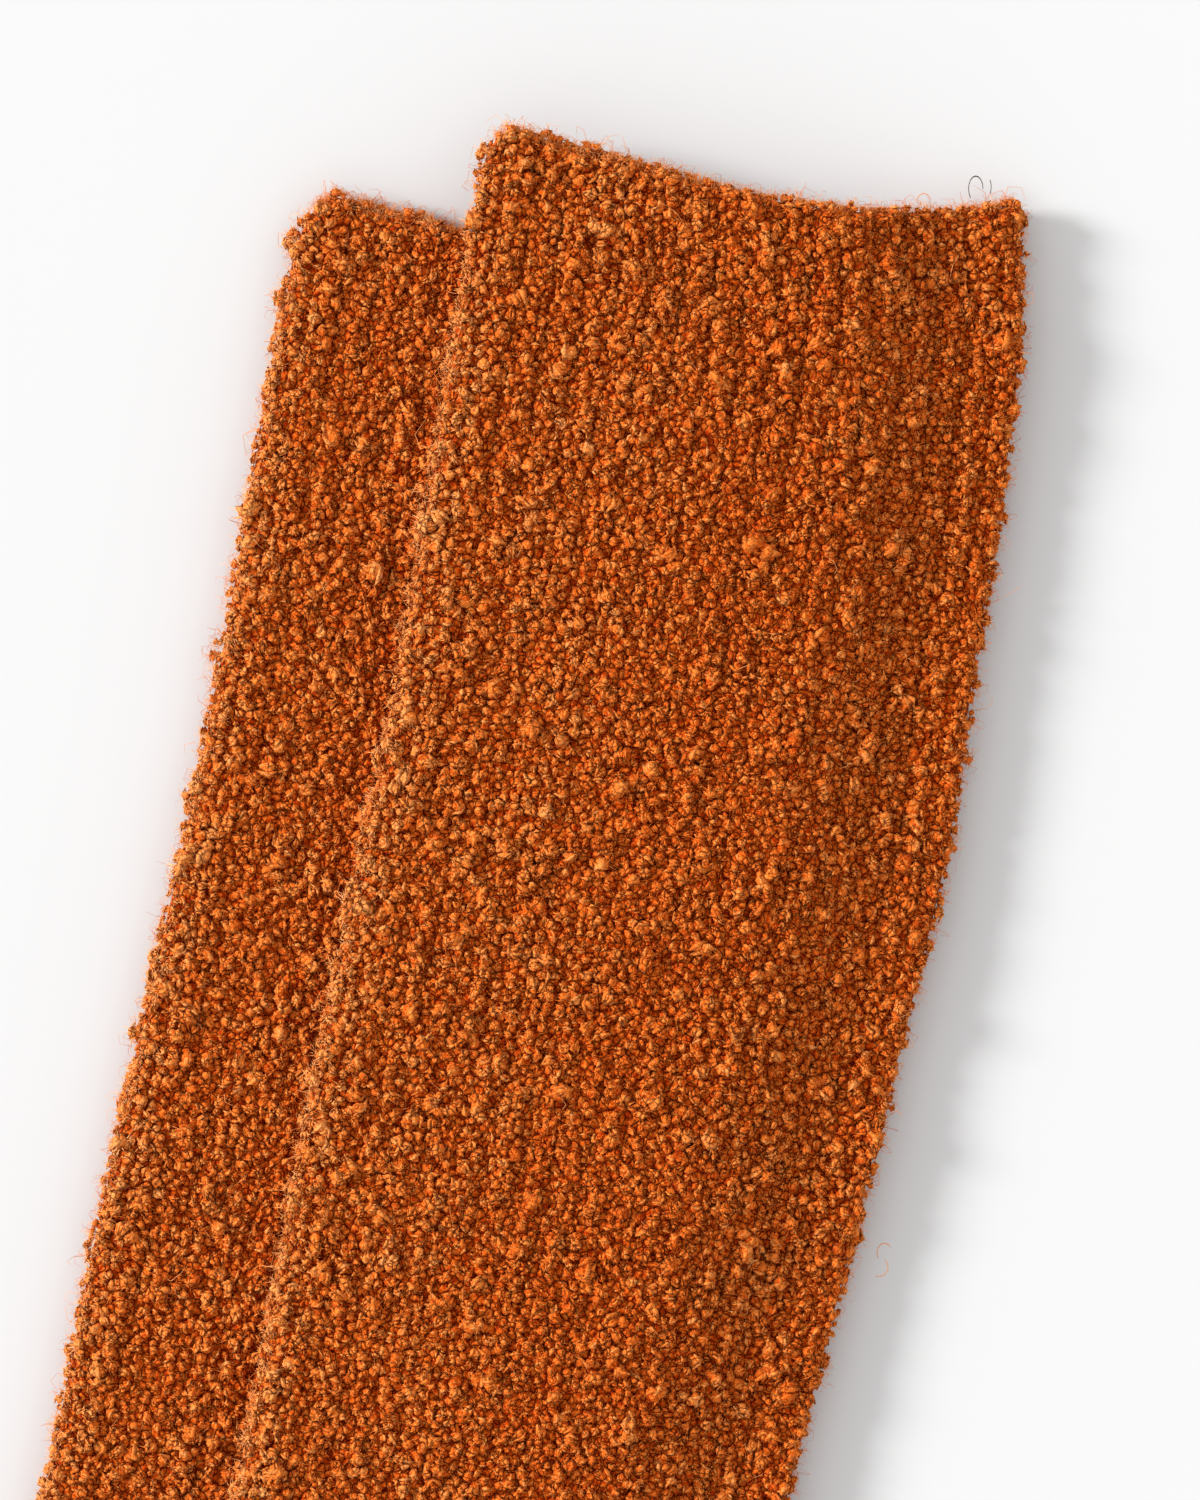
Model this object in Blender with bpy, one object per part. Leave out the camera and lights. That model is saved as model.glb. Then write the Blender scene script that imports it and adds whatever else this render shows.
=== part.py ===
"""A pair of long ribbed wool socks, laid flat, one over the other.

Each sock is one knitted tube, pressed flat on its side: a ribbed cuff and leg, a turned heel, a foot and a
closed toe. It is modelled as a loft. At each section across the sock a ring goes round the outside of the
cloth and another round the inside, and the rings are joined along the sock, over the rim of the cuff, and
across the toe. Seen from above, +Y runs up the leg to the cuff, and the heel is towards +X.
"""

from collections import namedtuple

import bmesh
import bpy
import numpy as np

MM = 0.001

# The cloth, in millimetres.
WALL = 2.6
SLOT = 0.6
FOLD_REACH = 3.2
ROLL = 0.7
ROLL_REACH = 6.0
PIECE_GAP = 0.4

# Each row is a section across the sock, in millimetres on the table. The front edge runs down the shin and
# the instep, and the back edge down the calf, round the heel and along the sole. Steps is the number of
# rings up to the next row, and rib is how far the ribs stand out of the front and the back half.
Section = namedtuple("Section", "name front_x front_y back_x back_y steps rib_front rib_back")
SECTIONS = (
    Section("rim", 77.4, -22.3, 160.6, -32.8, 2, 0.9, 0.9),
    Section("cuff", 75.0, -39.0, 161.0, -50.5, 2, 0.9, 0.9),
    Section("cuff foot", 70.9, -62.0, 158.9, -73.6, 2, 0.8, 0.8),
    Section("calf", 66.3, -90.0, 154.3, -103.0, 2, 0.55, 0.55),
    Section("mid leg", 61.5, -117.0, 150.4, -131.5, 3, 0.5, 0.5),
    Section("lower leg", 54.2, -152.0, 141.4, -169.5, 3, 0.5, 0.5),
    Section("shin", 46.9, -188.5, 131.8, -207.5, 3, 0.5, 0.5),
    Section("ankle", 39.2, -231.0, 121.5, -250.0, 1, 0.5, 0.4),
    Section("above heel", 35.6, -246.0, 118.8, -267.0, 1, 0.5, 0.0),
    Section("heel back", 31.2, -257.0, 119.4, -283.0, 2, 0.5, 0.0),
    Section("heel turn", 26.0, -265.0, 120.6, -299.0, 2, 0.5, 0.0),
    Section("heel point", 20.0, -271.0, 117.4, -314.0, 2, 0.5, 0.0),
    Section("heel sole", 13.0, -275.8, 108.4, -326.0, 2, 0.5, 0.0),
    Section("heel end", 4.5, -280.0, 93.5, -333.8, 1, 0.5, 0.0),
    Section("arch", -7.0, -285.6, 72.0, -342.2, 1, 0.5, 0.0),
    Section("instep", -20.0, -292.4, 44.0, -355.4, 1, 0.5, 0.0),
    Section("mid foot", -35.0, -300.4, 14.0, -370.6, 3, 0.5, 0.0),
    Section("ball", -70.0, -319.0, -27.5, -394.4, 2, 0.5, 0.0),
    Section("toe start", -95.6, -332.6, -54.0, -409.4, 0, 0.3, 0.0),
)
TOE_LENGTH = 40.0
TOE_STEPS = 6
TOE_LAST_ANGLE = np.radians(82)
TOE_HEIGHT_LOSS = 0.3
INNER_TOE_STEPS = 3

# The rim of the cuff dips between its corners, and the rows of knitting below it dip less and less. The lower
# layer of the rim shows above the upper one near the front corner.
RIM_DIP = 4.8
RIM_DIP_REACH = 70.0
DIP_LEAN = 1.5
PEEK = 1.8
PEEK_REACH = 14.0
PEEK_WIDTH = 0.45
LIP_LENGTH = 1.3
LIP_ROUND = 0.8

# Round a ring: twenty ribs of three points over the top and both folds, then the flat underside. The inside
# has one point for every two ribs.
RIBS_ON_TOP = 20
POINTS_A_RIB = 3
RIBS_AN_INNER_STEP = 2
UNDERSIDE_STEPS = 10
TOP_STEPS = RIBS_ON_TOP * POINTS_A_RIB
INNER_TOP_STEPS = RIBS_ON_TOP // RIBS_AN_INNER_STEP
OUTER_A_INNER = POINTS_A_RIB * RIBS_AN_INNER_STEP

# The under sock lies to the left of the over sock and lower, and leans a little more.
UNDER_SHIFT = np.array([-29.1, -9.6])
UNDER_TURN = np.radians(-1.0)

# The over sock bends down to the table where it passes the edge of the under sock, but its cuff stays level.
DRAPE_START = -1.0
DRAPE_END = 23.0
CUFF_SUPPORT = 25.0

Ring = namedtuple("Ring", "front back outer inner")
Station = namedtuple("Station", "front back along rib_front rib_back height_scale")


def clear_scene():
    for obj in list(bpy.data.objects):
        bpy.data.objects.remove(obj, do_unlink=True)


def smooth_through(stops, values, at):
    """A smooth curve through the rows' values, read at the places in `at`."""
    slopes = np.gradient(values, stops, axis=0)
    row = np.clip(np.searchsorted(stops, at, side="right") - 1, 0, len(stops) - 2)
    span = stops[row + 1] - stops[row]
    t = (at - stops[row]) / span
    shape = [-1] + [1] * (values.ndim - 1)
    t, span = t.reshape(shape), span.reshape(shape)
    rise = t * t * (3 - 2 * t)
    return (
        values[row] * (1 - rise)
        + values[row + 1] * rise
        + slopes[row] * span * t * (1 - t) ** 2
        - slopes[row + 1] * span * t * t * (1 - t)
    )


def smooth_step(t):
    t = np.clip(t, 0, 1)
    return t * t * (3 - 2 * t)


def stations():
    """The sections from the rim to the toe, with the rings between the rows of the table."""
    rows = np.array([row[1:5] for row in SECTIONS])
    ribs = np.array([row[6:8] for row in SECTIONS])
    middle = (rows[:, :2] + rows[:, 2:]) / 2
    stops = np.concatenate([[0], np.cumsum(np.linalg.norm(np.diff(middle, axis=0), axis=1))])
    at = [stops[i] + (stops[i + 1] - stops[i]) * k / row.steps
          for i, row in enumerate(SECTIONS) for k in range(row.steps)]
    at = np.array([at[0], LIP_LENGTH, *at[1:], stops[-1]])
    edges = smooth_through(stops, rows, at)
    depth = np.stack([np.interp(at, stops, ribs[:, half]) for half in (0, 1)], axis=1)
    leg_and_foot = [Station(edge[:2], edge[2:], along, *rib, 1.0)
                    for edge, along, rib in zip(edges, at, depth)]
    return leg_and_foot + toe_stations(leg_and_foot[-2], leg_and_foot[-1])


def toe_stations(before, last):
    """The toe is half an ellipse, so its sections grow short as they near the tip."""
    middle = (last.front + last.back) / 2
    half = (last.back - last.front) / 2
    ahead = middle - (before.front + before.back) / 2
    ahead -= half * (ahead @ half) / (half @ half)
    ahead /= np.linalg.norm(ahead)
    found = []
    for step in range(1, TOE_STEPS + 1):
        angle = TOE_LAST_ANGLE * step / TOE_STEPS
        centre = middle + ahead * TOE_LENGTH * np.sin(angle)
        reach = half * np.cos(angle)
        height = 1 - TOE_HEIGHT_LOSS * np.sin(angle) ** 2
        along = last.along + TOE_LENGTH * np.sin(angle)
        rib = last.rib_front * np.cos(angle)
        found.append(Station(centre - reach, centre + reach, along, rib, 0.0, height))
    return found


def roll(across, width):
    """How much thicker the pressed tube is next to its two folds."""
    near, far = across / ROLL_REACH, (width - across) / ROLL_REACH
    return ROLL * (np.exp(-near * near) + np.exp(-far * far))


def top_path(width, height):
    """The outside of the cloth from the table, up one fold, over the top and down the other fold.

    Returns points (across, up) at even steps along the path, and the directions that point out of it.
    """
    reach = min(FOLD_REACH, width / 3)
    rise = (height + roll(reach, width)) / 2
    turn = np.linspace(-np.pi / 2, -1.5 * np.pi, 40)
    fold = np.stack([reach + reach * np.cos(turn), rise + rise * np.sin(turn)], axis=1)
    across = np.linspace(reach, width - reach, 90)[1:-1]
    top = np.stack([across, height + roll(across, width)], axis=1)
    other_fold = fold[::-1] * [-1, 1] + [width, 0]
    path = np.concatenate([fold, top, other_fold])
    gone = np.concatenate([[0], np.cumsum(np.linalg.norm(np.diff(path, axis=0), axis=1))])
    at = np.linspace(0, gone[-1], TOP_STEPS + 1)
    points = np.stack([np.interp(at, gone, path[:, axis]) for axis in (0, 1)], axis=1)
    ahead = np.gradient(points, axis=0)
    ahead /= np.linalg.norm(ahead, axis=1)[:, None]
    return points, np.stack([-ahead[:, 1], ahead[:, 0]], axis=1)


def outer_section(station, width, inset):
    """The outer ring in the section's own plane, as (across, up), with the ribs raised."""
    height = (2 * WALL + SLOT) * station.height_scale
    points, out = top_path(width, height)
    step = np.arange(TOP_STEPS + 1)
    crest = (step % POINTS_A_RIB != 0).astype(float)
    to_back = smooth_step((points[:, 0] / width - 0.45) / 0.1)
    rib = station.rib_front + (station.rib_back - station.rib_front) * to_back
    clear_of_table = smooth_step(points[:, 1] / height * 2)
    points = points + out * ((rib * crest - inset) * clear_of_table)[:, None]
    underside = np.linspace(points[-1], points[0], UNDERSIDE_STEPS + 1)[1:-1]
    underside[:, 1] = 0
    return np.concatenate([points, underside])


def inner_section(station, width):
    """The inner ring: a thin flat slot, a little taller beside the folds."""
    low = WALL * station.height_scale
    high = (WALL + SLOT) * station.height_scale
    across = np.linspace(WALL, width - WALL, INNER_TOP_STEPS - 1)
    top = np.stack([across, high + roll(across, width)], axis=1)
    ends = np.array([[WALL, low], [width - WALL, low]])
    floor = np.linspace(ends[1], ends[0], UNDERSIDE_STEPS + 1)[1:-1]
    return np.concatenate([ends[:1], top, ends[1:], floor])


def on_table(station, section, width, down):
    """Places a section's (across, up) points on the table, each row of knitting with its dip."""
    share = np.clip(section[:, :1] / width, 0, 1)
    fade = max(0.0, 1 - station.along / RIM_DIP_REACH) ** 2
    dip = RIM_DIP * fade * np.sin(np.pi * share ** DIP_LEAN)
    layer = 1 - section[:, 1:] / section[:, 1].max()
    near_front = np.sin(np.pi * np.clip(share / PEEK_WIDTH, 0, 1))
    peek = PEEK * max(0.0, 1 - station.along / PEEK_REACH) * layer * near_front
    flat = station.front + (station.back - station.front) * section[:, :1] / width + down * (dip - peek)
    return np.concatenate([flat, section[:, 1:]], axis=1)


def sock_rings():
    """The rings of one sock lying flat by itself, in millimetres."""
    rings = []
    found = stations()
    last_inner = len(found) - 1 - (TOE_STEPS - INNER_TOE_STEPS)
    for index, station in enumerate(found):
        edge = station.back - station.front
        width = np.linalg.norm(edge)
        down = np.array([edge[1], -edge[0]]) / width
        inset = LIP_ROUND if index == 0 else 0.0
        outer = on_table(station, outer_section(station, width, inset), width, down)
        inner = on_table(station, inner_section(station, width), width, down)
        rings.append(Ring(station.front, station.back, outer, inner if index <= last_inner else None))
    return rings


def moved(rings, change):
    """The rings with the same change made to every row of points in them."""
    return [Ring(*(None if points is None else change(points) for points in ring)) for ring in rings]


def to_under(points, pivot):
    """Turns and shifts points from the over sock's place to the under sock's."""
    c, s = np.cos(UNDER_TURN), np.sin(UNDER_TURN)
    flat = (points[..., :2] - pivot) @ np.array([[c, s], [-s, c]]) + pivot + UNDER_SHIFT
    return np.concatenate([flat, points[..., 2:]], axis=-1)


def outline_of(rings):
    """The edge of the footprint as a closed line, stretched past the cuff."""
    edges = []
    for side in ("front", "back"):
        edge = np.array([getattr(ring, side) for ring in rings])
        up = (edge[0] - edge[3]) / np.linalg.norm(edge[0] - edge[3])
        edges.append(np.concatenate([[edge[0] + up * CUFF_SUPPORT], edge]))
    front, back = edges
    return np.concatenate([front, back[::-1]])


def beyond(points, outline):
    """How far each point lies outside the outline; inside it the distance is negative."""
    start, end = outline, np.roll(outline, -1, axis=0)
    edge = end - start
    away = points[:, None] - start
    share = np.clip((away * edge).sum(2) / (edge * edge).sum(1), 0, 1)
    distance = np.linalg.norm(away - edge * share[..., None], axis=2).min(1)
    crosses = (start[:, 1] > points[:, None, 1]) != (end[:, 1] > points[:, None, 1])
    rise = np.where(edge[:, 1] == 0, 1, edge[:, 1])
    cut = start[:, 0] + away[..., 1] / rise * edge[:, 0]
    inside = (crosses & (points[:, None, 0] < cut)).sum(1) % 2 == 1
    return np.where(inside, -distance, distance)


def lying_over(rings, under):
    """Raises the over sock's rings onto the under sock, and drapes them down to the table beyond it."""
    outline = outline_of(under)
    top = max(ring.outer[:, 2].max() for ring in under) + PIECE_GAP

    def raised(points):
        if points.ndim == 1:
            return points
        past = beyond(points[:, :2], outline)
        lift = top * (1 - smooth_step((past - DRAPE_START) / (DRAPE_END - DRAPE_START)))
        return np.concatenate([points[:, :2], points[:, 2:] + lift[:, None]], axis=1)

    return moved(rings, raised)


def join_rings(bm, loops):
    """Faces between each loop of points and the next."""
    for near, far in zip(loops, loops[1:]):
        for i in range(len(near)):
            j = (i + 1) % len(near)
            bm.faces.new((near[i], far[i], far[j], near[j]))


def join_rim(bm, outer, inner):
    """The edge of the cloth at the mouth of the cuff, from the outer ring to the inner one."""
    for k in range(INNER_TOP_STEPS):
        first = k * OUTER_A_INNER
        for i in range(first, first + OUTER_A_INNER):
            bm.faces.new((outer[i], outer[i + 1], inner[k]))
        bm.faces.new((outer[first + OUTER_A_INNER], inner[k + 1], inner[k]))
    for k in range(UNDERSIDE_STEPS):
        i, j = TOP_STEPS + k, (TOP_STEPS + k + 1) % len(outer)
        m, n = INNER_TOP_STEPS + k, (INNER_TOP_STEPS + k + 1) % len(inner)
        bm.faces.new((outer[i], outer[j], inner[n], inner[m]))


def sock_object(name, rings, shift, material, collection):
    bm = bmesh.new()
    outer = [[bm.verts.new((point + shift) * MM) for point in ring.outer] for ring in rings]
    inner = [[bm.verts.new((point + shift) * MM) for point in ring.inner] for ring in rings
             if ring.inner is not None]
    join_rings(bm, outer)
    join_rings(bm, inner)
    join_rim(bm, outer[0], inner[0])
    bm.faces.new(outer[-1])
    bm.faces.new(inner[-1])
    bmesh.ops.recalc_face_normals(bm, faces=bm.faces)
    bmesh.ops.triangulate(bm, faces=bm.faces)
    mesh = bpy.data.meshes.new(name)
    bm.to_mesh(mesh)
    bm.free()
    mesh.materials.append(material)
    mesh.shade_smooth()
    obj = bpy.data.objects.new(name, mesh)
    collection.objects.link(obj)
    return obj


def wool(name, colour):
    material = bpy.data.materials.new(name)
    material.use_nodes = True
    shader = material.node_tree.nodes["Principled BSDF"]
    shader.inputs["Base Color"].default_value = (*colour, 1)
    shader.inputs["Roughness"].default_value = 0.95
    shader.inputs["Metallic"].default_value = 0
    return material


def main():
    clear_scene()
    collection = bpy.data.collections.new("wool_sock_pair")
    bpy.context.scene.collection.children.link(collection)
    flat = sock_rings()
    pivot = flat[0].front
    under = moved(flat, lambda points: to_under(points, pivot))
    over = lying_over(flat, under)
    points = np.concatenate([ring.outer for ring in under + over])
    low, high = points.min(0), points.max(0)
    shift = -np.array([(low[0] + high[0]) / 2, (low[1] + high[1]) / 2, low[2]])
    sock_object("sock_under", under, shift, wool("under_wool", (0.30, 0.075, 0.016)), collection)
    sock_object("sock_over", over, shift, wool("over_wool", (0.36, 0.085, 0.018)), collection)
    print("shift in mm", shift.round(2), "size in mm", (high - low).round(1))


main()
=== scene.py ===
# %% [markdown]
# # A pair of curly wool socks, laid flat
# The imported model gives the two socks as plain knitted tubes, pressed flat, one lying over the other. This
# lesson dresses them in the yarn that makes them soft. The yarn is a boucle: while it is spun, one strand is
# fed in too fast, so it throws small curls, and once knitted the curls hide the stitches. We lay curls on the
# solid's own surface, add loose fibres, and light it all on a pale table.

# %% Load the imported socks
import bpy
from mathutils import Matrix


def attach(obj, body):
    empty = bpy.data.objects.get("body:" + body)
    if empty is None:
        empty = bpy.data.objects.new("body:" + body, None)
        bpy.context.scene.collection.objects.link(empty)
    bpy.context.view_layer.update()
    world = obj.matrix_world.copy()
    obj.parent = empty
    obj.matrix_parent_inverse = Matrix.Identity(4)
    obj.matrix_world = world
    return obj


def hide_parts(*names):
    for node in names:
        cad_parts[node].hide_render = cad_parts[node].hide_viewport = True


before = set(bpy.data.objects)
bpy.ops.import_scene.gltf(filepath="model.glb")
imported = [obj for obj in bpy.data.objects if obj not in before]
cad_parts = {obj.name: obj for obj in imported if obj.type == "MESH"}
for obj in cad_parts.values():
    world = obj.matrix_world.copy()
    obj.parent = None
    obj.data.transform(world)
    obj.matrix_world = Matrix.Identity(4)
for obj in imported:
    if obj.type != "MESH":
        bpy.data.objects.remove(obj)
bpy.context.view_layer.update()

# %% What the script works with
import math
from collections import namedtuple

import bmesh
import bpy
import numpy as np
from mathutils import Matrix, Vector
from mathutils.bvhtree import BVHTree

MM = 0.001
rng = np.random.default_rng(18)


def in_scene(name, data):
    thing = bpy.data.objects.new(name, data)
    bpy.context.scene.collection.objects.link(thing)
    return thing


print("Blender", bpy.app.version_string)

# %% [markdown]
# The picture is taken from straight above and shows the cuffs and legs only. A camera far up with a long lens
# keeps the socks free of perspective. Its field is set from the width of the leg: 6.32 pixels a millimetre.

# %% Camera
PIXELS_A_MM = 6.32
IMAGE_WIDTH, IMAGE_HEIGHT = 1200, 1500
CAMERA_HEIGHT = 1.5
SENSOR = 36.0
# The photo's top left corner, in millimetres in the model's frame.
PHOTO_CORNER = np.array([-5.35, 221.54])
photo_centre = PHOTO_CORNER + np.array([IMAGE_WIDTH, -IMAGE_HEIGHT]) / 2 / PIXELS_A_MM

lens = bpy.data.cameras.new("camera")
camera = in_scene("camera", lens)
bpy.context.scene.camera = camera
lens.sensor_fit = "VERTICAL"
lens.sensor_height = SENSOR
lens.lens = SENSOR * CAMERA_HEIGHT / (IMAGE_HEIGHT / PIXELS_A_MM * MM)
lens.clip_start = 0.05
lens.clip_end = 20
camera.location = (*(photo_centre * MM), CAMERA_HEIGHT)
print("the camera looks down on", photo_centre.round(1), "mm")

# %% [markdown]
# The table is white and even. A big bmesh grid is enough, a hair below the socks so the two never share a
# plane.

# %% Table
TABLE_SIZE = 3.0
TABLE_DROP = 0.0002
TABLE_WHITE, TABLE_ROUGHNESS = 0.615, 0.8


def plain_material(name, colour, roughness):
    material = bpy.data.materials.new(name)
    material.use_nodes = True
    shader = material.node_tree.nodes["Principled BSDF"]
    shader.inputs["Base Color"].default_value = (*colour, 1)
    shader.inputs["Roughness"].default_value = roughness
    return material, shader


bm = bmesh.new()
bmesh.ops.create_grid(bm, x_segments=1, y_segments=1, size=TABLE_SIZE / 2)
bmesh.ops.translate(bm, verts=bm.verts, vec=(0, 0, -TABLE_DROP))
mesh = bpy.data.meshes.new("table")
bm.to_mesh(mesh)
bm.free()
mesh.materials.append(plain_material("table_white", (TABLE_WHITE,) * 3, TABLE_ROUGHNESS)[0])
table = in_scene("table", mesh)
print("the table is", TABLE_SIZE, "m wide")

# %% [markdown]
# A soft window of light stands low on the left, a little towards the cuffs. Every rib and curl then has a
# bright left side, and the socks throw a shadow to the right. A white room fills the rest.

# %% Light
KEY_FROM = (-1.0, 0.27)
KEY_ELEVATION = math.radians(26)
KEY_SPREAD = math.radians(17)
KEY_STRENGTH = 4.05
ROOM_STRENGTH = 0.98

key_light = bpy.data.lights.new("key", "SUN")
key_light.energy = KEY_STRENGTH
key_light.angle = KEY_SPREAD
key = in_scene("key", key_light)
towards_key = Vector((*KEY_FROM, 0)).normalized() * math.cos(KEY_ELEVATION)
towards_key.z = math.sin(KEY_ELEVATION)
key.rotation_euler = towards_key.to_track_quat("Z", "Y").to_euler()
room = bpy.data.worlds.new("white_room")
bpy.context.scene.world = room
room.use_nodes = True
room.node_tree.nodes["Background"].inputs["Color"].default_value = (1, 1, 1, 1)
room.node_tree.nodes["Background"].inputs["Strength"].default_value = ROOM_STRENGTH
bpy.context.scene.view_settings.view_transform = "Standard"
print("the key light stands", round(math.degrees(KEY_ELEVATION)), "degrees above the table")

# %% [markdown]
# To lay curls along the knitting we need to know where its rows and ribs run. The table below repeats the
# sections that the solid was lofted through, in millimetres: the front edge runs down the shin, the back edge
# down the calf and round the heel. A smooth curve through the rows gives both edges at any distance.

# %% Where the knitting runs
Section = namedtuple("Section", "name front_x front_y back_x back_y")
SECTIONS = (
    Section("rim", 77.4, -22.3, 160.6, -32.8),
    Section("cuff", 75.0, -39.0, 161.0, -50.5),
    Section("cuff foot", 70.9, -62.0, 158.9, -73.6),
    Section("calf", 66.3, -90.0, 154.3, -103.0),
    Section("mid leg", 61.5, -117.0, 150.4, -131.5),
    Section("lower leg", 54.2, -152.0, 141.4, -169.5),
    Section("shin", 46.9, -188.5, 131.8, -207.5),
    Section("ankle", 39.2, -231.0, 121.5, -250.0),
    Section("above heel", 35.6, -246.0, 118.8, -267.0),
    Section("heel back", 31.2, -257.0, 119.4, -283.0),
    Section("heel turn", 26.0, -265.0, 120.6, -299.0),
    Section("heel point", 20.0, -271.0, 117.4, -314.0),
    Section("heel sole", 13.0, -275.8, 108.4, -326.0),
    Section("heel end", 4.5, -280.0, 93.5, -333.8),
    Section("arch", -7.0, -285.6, 72.0, -342.2),
    Section("instep", -20.0, -292.4, 44.0, -355.4),
    Section("mid foot", -35.0, -300.4, 14.0, -370.6),
    Section("ball", -70.0, -319.0, -27.5, -394.4),
    Section("toe start", -95.6, -332.6, -54.0, -409.4),
)
TOE_LENGTH = 40.0
UNDER_SHIFT = np.array([-29.1, -9.6])
UNDER_TURN = math.radians(-1.0)
RIM_DIP, RIM_DIP_REACH, DIP_LEAN = 4.8, 70.0, 1.5

rows = np.array([row[1:] for row in SECTIONS])
row_middle = (rows[:, :2] + rows[:, 2:]) / 2
row_at = np.concatenate([[0], np.cumsum(np.linalg.norm(np.diff(row_middle, axis=0), axis=1))])
row_slope = np.gradient(rows, row_at, axis=0)
LEG_AND_FOOT = row_at[-1]
SOCK_LENGTH = LEG_AND_FOOT + TOE_LENGTH


def edges_at(along):
    """The front and back edge of the over sock at each distance from the rim, in millimetres."""
    along = np.asarray(along, float)
    at = np.minimum(along, LEG_AND_FOOT)
    row = np.clip(np.searchsorted(row_at, at, side="right") - 1, 0, len(row_at) - 2)
    span = (row_at[row + 1] - row_at[row])[:, None]
    t = (at - row_at[row])[:, None] / span
    rise = t * t * (3 - 2 * t)
    edges = (rows[row] * (1 - rise) + rows[row + 1] * rise
             + row_slope[row] * span * t * (1 - t) ** 2 - row_slope[row + 1] * span * t * t * (1 - t))
    front, back = edges[:, :2], edges[:, 2:]
    middle, half = (front + back) / 2, (back - front) / 2
    ahead = np.stack([half[:, 1], -half[:, 0]], axis=1)
    ahead /= np.linalg.norm(ahead, axis=1)[:, None]
    into_toe = np.clip((along - LEG_AND_FOOT) / TOE_LENGTH, 0, 1)[:, None]
    half = half * np.sqrt(1 - into_toe ** 2)
    middle = middle + ahead * TOE_LENGTH * into_toe
    return middle - half, middle + half


def placed(points, sock):
    """From the section table's millimetres to the model's frame, for either sock."""
    if sock == "under":
        pivot = rows[0, :2]
        c, s = math.cos(UNDER_TURN), math.sin(UNDER_TURN)
        points = (points - pivot) @ np.array([[c, s], [-s, c]]) + pivot + UNDER_SHIFT
    return points + PHOTO_CORNER


front, back = edges_at(np.array([0.0, 100.0, 300.0]))
print("sock length", round(SOCK_LENGTH), "mm; widths", np.linalg.norm(back - front, axis=1).round(1))

# %% [markdown]
# Across the sock the cloth goes up round the front fold, over the top, and down round the back fold. Curls
# are spaced evenly along that path. The last word on where the surface is belongs to the solid, so each point
# is snapped to the nearest place on it, which also gives the direction that points out of the cloth.

# %% Where the cloth is
# The solid's own sizes in millimetres: the height of the pressed tube, how far its folds reach in, and the
# roll that makes it thicker beside them.
CLOTH_HEIGHT = 5.8
FOLD_REACH = 3.2
ROLL, ROLL_REACH = 0.7, 6.0
FOLD_POINTS, TOP_POINTS = 20, 40
# A height in metres that is clear of everything, to look down from.
FROM_ABOVE = 0.05


def solid_tree(node):
    bm = bmesh.new()
    bm.from_mesh(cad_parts[node].data)
    tree = BVHTree.FromBMesh(bm)
    bm.free()
    return tree


TREES = {"over": solid_tree("sock_over"), "under": solid_tree("sock_under")}


def roll(across, width):
    near, far = across / ROLL_REACH, (width - across) / ROLL_REACH
    return ROLL * (np.exp(-near ** 2) + np.exp(-far ** 2))


def path_across(width):
    """The outside of the cloth in a section: points (across, up) and the length gone at each."""
    reach = min(FOLD_REACH, width / 3)
    turn = np.linspace(-np.pi / 2, -1.5 * np.pi, FOLD_POINTS)
    rise = (CLOTH_HEIGHT + roll(reach, width)) / 2
    fold = np.stack([reach + reach * np.cos(turn), rise + rise * np.sin(turn)], axis=1)
    across = np.linspace(reach, width - reach, TOP_POINTS)[1:-1]
    top = np.stack([across, CLOTH_HEIGHT + roll(across, width)], axis=1)
    path = np.concatenate([fold, top, fold[::-1] * [-1, 1] + [width, 0]])
    gone = np.concatenate([[0], np.cumsum(np.linalg.norm(np.diff(path, axis=0), axis=1))])
    return path, gone


def section_at(along):
    """The front end of a section, the way across it, its width and the way down the sock."""
    front, back = (edge[0] for edge in edges_at([along]))
    width = np.linalg.norm(back - front)
    return front, back - front, width, np.array([(back - front)[1], -(back - front)[0]]) / width


path, gone = path_across(90.0)
print("across a leg 90 mm wide the cloth runs", gone[-1].round(1), "mm")

# %% [markdown]
# The front corner of each mouth is worn round in the photo: it is drawn in, and the rim beside it stands up
# in a small peak. The same soft pull is given to the tube and to the curls, so they stay together.

# %% Worn corners
CORNER_PULL = {"over": 1.3, "under": 2.3}
CORNER_REACH = {"over": 2.6, "under": 3.4}
PEAK_AT, PEAK_HEIGHT, PEAK_REACH = 5.0, 1.5, 3.2


def corner_worn(points, sock):
    """Points in metres, with those by the front corner of the mouth drawn in, or raised beside it."""
    front, edge, width, down = section_at(0.0)
    edge = edge / width

    def near(place, reach):
        gap = points[:, :2] / MM - placed(place, sock)
        return np.exp(-(gap ** 2).sum(axis=1) / reach ** 2)[:, None] * MM

    moved = points.copy()
    moved[:, :2] += (edge + down) / math.sqrt(2) * CORNER_PULL[sock] * near(front, CORNER_REACH[sock])
    moved[:, :2] -= down * PEAK_HEIGHT * near(front + edge * PEAK_AT, PEAK_REACH)
    return moved


def looked_down_on(sock, place):
    """The height in metres of the sock's top at a place in millimetres, or None beside the sock."""
    hit = TREES[sock].ray_cast(Vector((*(place * MM), FROM_ABOVE)), Vector((0, 0, -1)))[0]
    return None if hit is None else hit.z


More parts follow.
